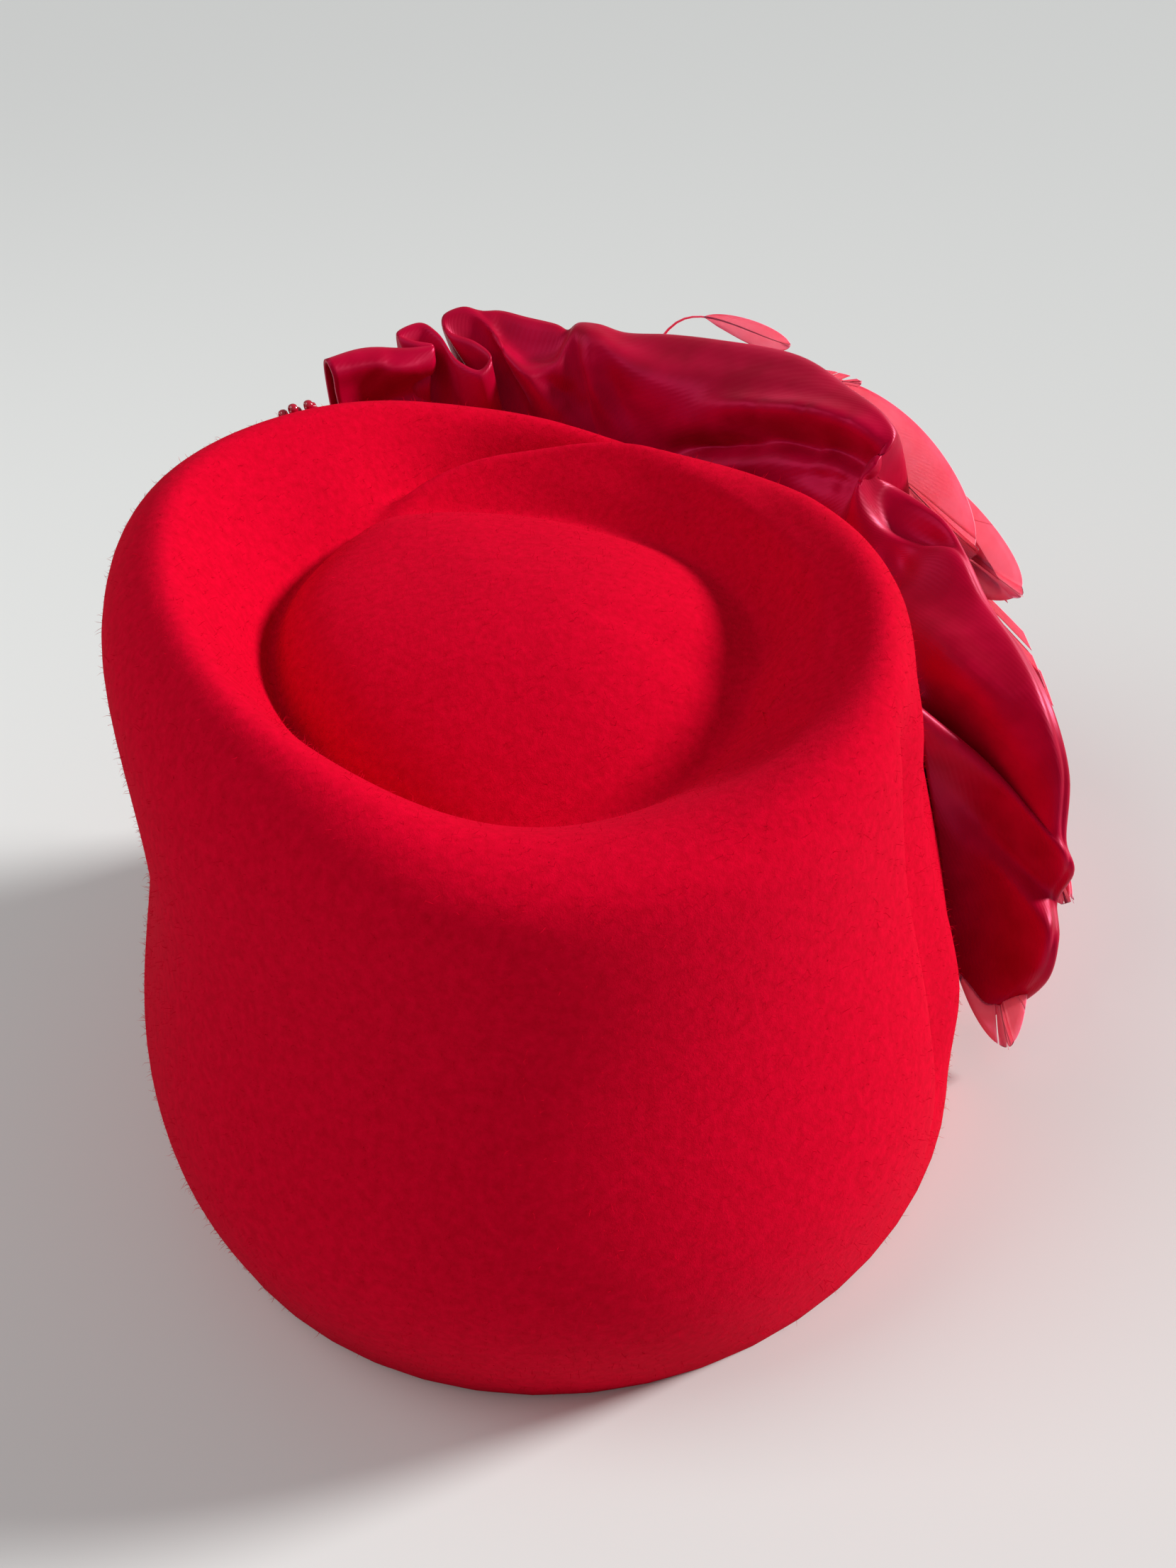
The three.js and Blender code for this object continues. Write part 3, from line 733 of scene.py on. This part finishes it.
# Dyed feather: barbs hooked into a smooth vane with a soft silky sheen, paler where light comes through.
FEATHER_GLOW = 2.0
DYE_PATCH = 7
dyed_feather = bpy.data.materials.new("dyed_feather")
dyed_feather.use_nodes = True
tree = dyed_feather.node_tree
tree.nodes.clear()
place = node(tree, "ShaderNodeTexCoord")
uneven = node(
    tree,
    "ShaderNodeTexNoise",
    {"Scale": 1 / (DYE_PATCH * MM), "Detail": 3.0},
    Vector=place.outputs["Object"],
)
dye = node(tree, "ShaderNodeValToRGB", Fac=uneven.outputs["Fac"])
dye.color_ramp.elements[0].position = 0.3
dye.color_ramp.elements[0].color = linear("#f83c64")
dye.color_ramp.elements[1].position = 0.7
dye.color_ramp.elements[1].color = linear("#ff5c7c")
feather_surface = node(
    tree,
    "ShaderNodeBsdfPrincipled",
    {
        "Roughness": 0.55,
        "IOR": 1.45,
        "Specular IOR Level": 0.35,
        "Subsurface Weight": 0.8,
        "Subsurface Radius": (1.0, 0.4, 0.4),
        "Subsurface Scale": FEATHER_GLOW * MM,
        "Sheen Weight": 0.2,
        "Sheen Roughness": 0.4,
        "Sheen Tint": linear("#ffb0bc"),
    },
    Base_Color=dye.outputs["Color"],
)
node(tree, "ShaderNodeOutputMaterial", Surface=feather_surface.outputs["BSDF"])

for number, values in enumerate(FEATHERS, start=1):
    row = dict(zip(FEATHER_COLUMNS, values))
    shaft = Shaft(row)
    feather = joined_mesh(f"feather_{number}", *vane_locks(shaft, row["lock"], row["part"]))
    fullness = feather.modifiers.new("fullness", "SOLIDIFY")
    fullness.thickness = VANE_THICKNESS * MM
    fullness.offset = 0.0
    bpy.ops.object.modifier_apply(modifier=fullness.name)
    joined_mesh(f"stem_{number}", *quill(shaft))
    feather.select_set(True)
    bpy.context.view_layer.objects.active = feather
    bpy.ops.object.join()
    bpy.ops.object.shade_smooth()
    feather.data.materials.append(dyed_feather)
    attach(feather, "root")
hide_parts("feather_spray")


# Thread binding
# Red sewing thread, wound in close turns round the ends of the quills to hold them together. It is
# sewn down on the outside of the drape and has the satin's finish.
THREAD_TURNS = 9
THREAD_RELIEF = 0.06
bpy.ops.object.select_all(action="DESELECT")
bpy.ops.mesh.primitive_uv_sphere_add(segments=32, ring_count=64, radius=1.0)
binding = bpy.context.object
binding.name = "binding"
ball = points_of(binding)
wound = 1 + THREAD_RELIEF * np.abs(np.sin(ball[:, 2:3] * THREAD_TURNS * math.pi / 2))
ball = ball * wound * BINDING_RADII * MM
turn = math.radians(BINDING_ANGLE)
turned = ball @ np.array(Matrix.Rotation(turn, 3, "Z")).T + root
binding.data.vertices.foreach_set("co", turned.reshape(-1))
binding.data.update()
bpy.ops.object.shade_smooth()
binding.data.materials.append(satin)
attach(binding, "root")


# Seed beads
# A few glossy seed beads of red glass, each a short round tube with a hole for the thread.
# They are sewn to the felt at the drape's left end, lying on their sides.
BEAD_OUTER = 2.6
BEAD_RING = 0.3
BEAD_WALL = 0.2
BEAD_ROUNDNESS = 1.7
# Where each bead sits: its angle and its radius.
BEADS = [
    (213.8, 81.5), (211.2, 81.5), (212.5, 83.5), (210.2, 83), (215, 83), (211.4, 86),
    (213.6, 86), (209, 85),
]
# Red glass: cut from drawn tube and tumbled in heat, so each bead is smooth with a small sharp highlight.
red_glass = bpy.data.materials.new("red_glass")
red_glass.use_nodes = True
glass = red_glass.node_tree.nodes["Principled BSDF"].inputs
glass["Base Color"].default_value = linear("#b00a2c")
glass["Roughness"].default_value = 0.12
glass["Coat Weight"].default_value = 0.5
beads = []
for angle, radius in BEADS:
    above = Vector(polar(angle, radius, FAR_OUT))
    _, spot, slope, _ = crown.ray_cast(above, Vector((0, 0, -1)))
    bpy.ops.object.select_all(action="DESELECT")
    bpy.ops.mesh.primitive_torus_add(
        major_segments=18,
        minor_segments=12,
        major_radius=BEAD_RING * BEAD_OUTER * MM,
        minor_radius=BEAD_WALL * BEAD_OUTER * MM,
    )
    bead = bpy.context.object
    bead.data.transform(Matrix.Diagonal((1, 1, BEAD_ROUNDNESS, 1)))
    tilt = slope.to_track_quat("X", "Y")
    lying = Matrix.Translation(spot + slope * 0.5 * BEAD_OUTER * MM)
    bead.data.transform(lying @ tilt.to_matrix().to_4x4())
    bpy.ops.object.shade_smooth()
    beads.append(bead)
bpy.ops.object.select_all(action="DESELECT")
for bead in beads:
    bead.select_set(True)
bpy.context.view_layer.objects.active = beads[0]
bpy.ops.object.join()
seed_beads = bpy.context.object
seed_beads.name = "seed_beads"
seed_beads.data.materials.append(red_glass)
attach(seed_beads, "root")


# Floor
# A plain pale studio floor of matt painted board, wide enough to fill the picture to its top.
# The hat stands on it by its cut edge.
FLOOR_WIDTH = 14.0
bpy.ops.mesh.primitive_plane_add(size=FLOOR_WIDTH, location=(0, 0, 0))
floor = bpy.context.object
floor.name = "floor"
pale_floor = bpy.data.materials.new("pale_floor")
pale_floor.use_nodes = True
matt_paint = pale_floor.node_tree.nodes["Principled BSDF"].inputs
matt_paint["Base Color"].default_value = linear("#e2e3e1")
matt_paint["Roughness"].default_value = 0.9
floor.data.materials.append(pale_floor)
floor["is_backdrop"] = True


# Studio light
# One large soft box, low at the wearer's right and a little to the front, a small soft panel high at
# the left, and an even pale surround.
KEY_FROM = Vector((-0.9, -0.13, 0.42))
KEY_SPREAD = math.radians(12)
KEY_STRENGTH = 4.0
SURROUND = 0.27
key_data = bpy.data.lights.new("soft_box", "SUN")
key_data.angle = KEY_SPREAD
key_data.energy = KEY_STRENGTH
key = bpy.data.objects.new("soft_box", key_data)
bpy.context.collection.objects.link(key)
key.rotation_euler = (-KEY_FROM).to_track_quat("-Z", "Y").to_euler()
PANEL_FROM = Vector((0.6, 0.15, 0.85))
PANEL_SIZE = 0.6
PANEL_POWER = 3.0
panel_data = bpy.data.lights.new("soft_panel", "AREA")
panel_data.size = PANEL_SIZE
panel_data.energy = PANEL_POWER
panel = bpy.data.objects.new("soft_panel", panel_data)
bpy.context.collection.objects.link(panel)
panel.location = PANEL_FROM
panel.rotation_euler = (-PANEL_FROM).to_track_quat("-Z", "Y").to_euler()
surround = bpy.data.worlds.new("surround")
surround.use_nodes = True
surround.node_tree.nodes["Background"].inputs["Color"].default_value = linear("#f2f4f6")
surround.node_tree.nodes["Background"].inputs["Strength"].default_value = SURROUND
bpy.context.scene.world = surround
bpy.context.scene.view_settings.view_transform = "Standard"


# Camera
# Behind the hat and above it, looking down on the crown, tipped a little to one side.
PICTURE_HEIGHT = 2212
FOCAL_PIXELS = 2200
CAMERA_FROM_CENTRE = Vector((-8.5, 266.9, 237.6)) * MM
CAMERA_YAW = math.radians(0.41)
CAMERA_PITCH = math.radians(33.18)
CAMERA_ROLL = math.radians(5.5)
camera_data = bpy.data.cameras.new("camera")
camera_data.sensor_width = 36.0
camera_data.lens = camera_data.sensor_width * FOCAL_PIXELS / PICTURE_HEIGHT
camera_data.clip_start = 0.01
camera = bpy.data.objects.new("camera", camera_data)
bpy.context.collection.objects.link(camera)
camera.matrix_world = (
    Matrix.Translation(Vector(opening_centre) + CAMERA_FROM_CENTRE)
    @ Matrix.Rotation(math.pi - CAMERA_YAW, 4, "Z")
    @ Matrix.Rotation(math.pi / 2 - CAMERA_PITCH, 4, "X")
    @ Matrix.Rotation(-CAMERA_ROLL, 4, "Z")
)
bpy.context.scene.camera = camera

low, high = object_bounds()
